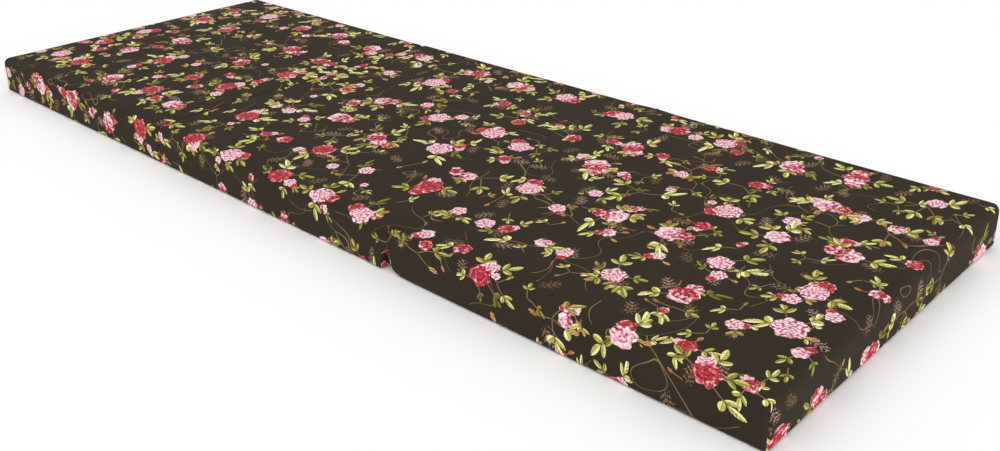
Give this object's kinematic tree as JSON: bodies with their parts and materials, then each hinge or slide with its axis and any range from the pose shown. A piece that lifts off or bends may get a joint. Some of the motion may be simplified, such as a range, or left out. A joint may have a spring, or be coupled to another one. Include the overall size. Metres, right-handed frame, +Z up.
{
  "type": "tri-fold foam floor mattress",
  "caption": "Tri-fold foam floor mattress in a dark floral cotton cover with rear zips; cloth hinges let the head panel fold under and the foot panel fold over.",
  "frame": {"origin": "centre of the flat underside of the open mattress, on the surface it lies on", "axes": "+X along the length from the head panel to the foot panel, +Y across to the long side with the zips, +Z up out of the sleeping surface"},
  "size_m": [1.905, 0.6927, 0.076],
  "materials": {
    "printed_twill": "printed cotton twill, matte",
    "foam": "open-cell polyurethane foam",
    "zip_tape": "woven polyester tape",
    "zip_coil": "nylon monofilament",
    "zip_metal": "gunmetal plating, satin"
  },
  "bodies": {
    "middle_panel": {"middle_foam": "foam", "middle_cover": "printed_twill", "middle_base_cloth": "printed_twill", "middle_zip_tapes": "zip_tape", "middle_zip_coil": "zip_coil", "middle_zip_stops": "zip_metal", "head_fold_cloth": "printed_twill", "foot_fold_cloth": "printed_twill"},
    "head_panel": {"head_foam": "foam", "head_cover": "printed_twill", "head_base_cloth": "printed_twill", "head_zip_tapes": "zip_tape", "head_zip_coil": "zip_coil", "head_zip_stops": "zip_metal"},
    "foot_panel": {"foot_foam": "foam", "foot_cover": "printed_twill", "foot_base_cloth": "printed_twill", "foot_zip_tapes": "zip_tape", "foot_zip_coil": "zip_coil", "foot_zip_stops": "zip_metal"},
    "head_slider": {"head_zip_slider": "zip_metal"},
    "middle_slider": {"middle_zip_slider": "zip_metal"},
    "foot_slider": {"foot_zip_slider": "zip_metal"},
    "head_pull": {"head_zip_pull": "zip_metal"},
    "middle_pull": {"middle_zip_pull": "zip_metal"},
    "foot_pull": {"foot_zip_pull": "zip_metal"}
  },
  "joints": [
    {"name": "head_fold", "type": "hinge", "parent": "middle_panel", "child": "head_panel", "pos_m": [-0.3175, 0, -0.0004], "axis": [0, -1, 0], "range_deg": [0, 180], "deforming": ["head_fold_cloth"]},
    {"name": "foot_fold", "type": "hinge", "parent": "middle_panel", "child": "foot_panel", "pos_m": [0.3175, 0, 0.0764], "axis": [0, -1, 0], "range_deg": [0, 180], "deforming": ["foot_fold_cloth"]},
    {"name": "head_zip_slide", "type": "slide", "parent": "head_panel", "child": "head_slider", "axis": [-1, 0, 0], "range_m": [0, 0.545]},
    {"name": "middle_zip_slide", "type": "slide", "parent": "middle_panel", "child": "middle_slider", "axis": [-1, 0, 0], "range_m": [0, 0.545]},
    {"name": "foot_zip_slide", "type": "slide", "parent": "foot_panel", "child": "foot_slider", "axis": [-1, 0, 0], "range_m": [0, 0.545]},
    {"name": "head_pull_swing", "type": "hinge", "parent": "head_slider", "child": "head_pull", "pos_m": [-0.3611, 0.34805, 0.038], "axis": [0, 0, -1], "range_deg": [0, 175]},
    {"name": "middle_pull_swing", "type": "hinge", "parent": "middle_slider", "child": "middle_pull", "pos_m": [0.2742, 0.34805, 0.038], "axis": [0, 0, -1], "range_deg": [0, 175]},
    {"name": "foot_pull_swing", "type": "hinge", "parent": "foot_slider", "child": "foot_pull", "pos_m": [0.9095, 0.34805, 0.038], "axis": [0, 0, -1], "range_deg": [0, 175]}
  ]
}
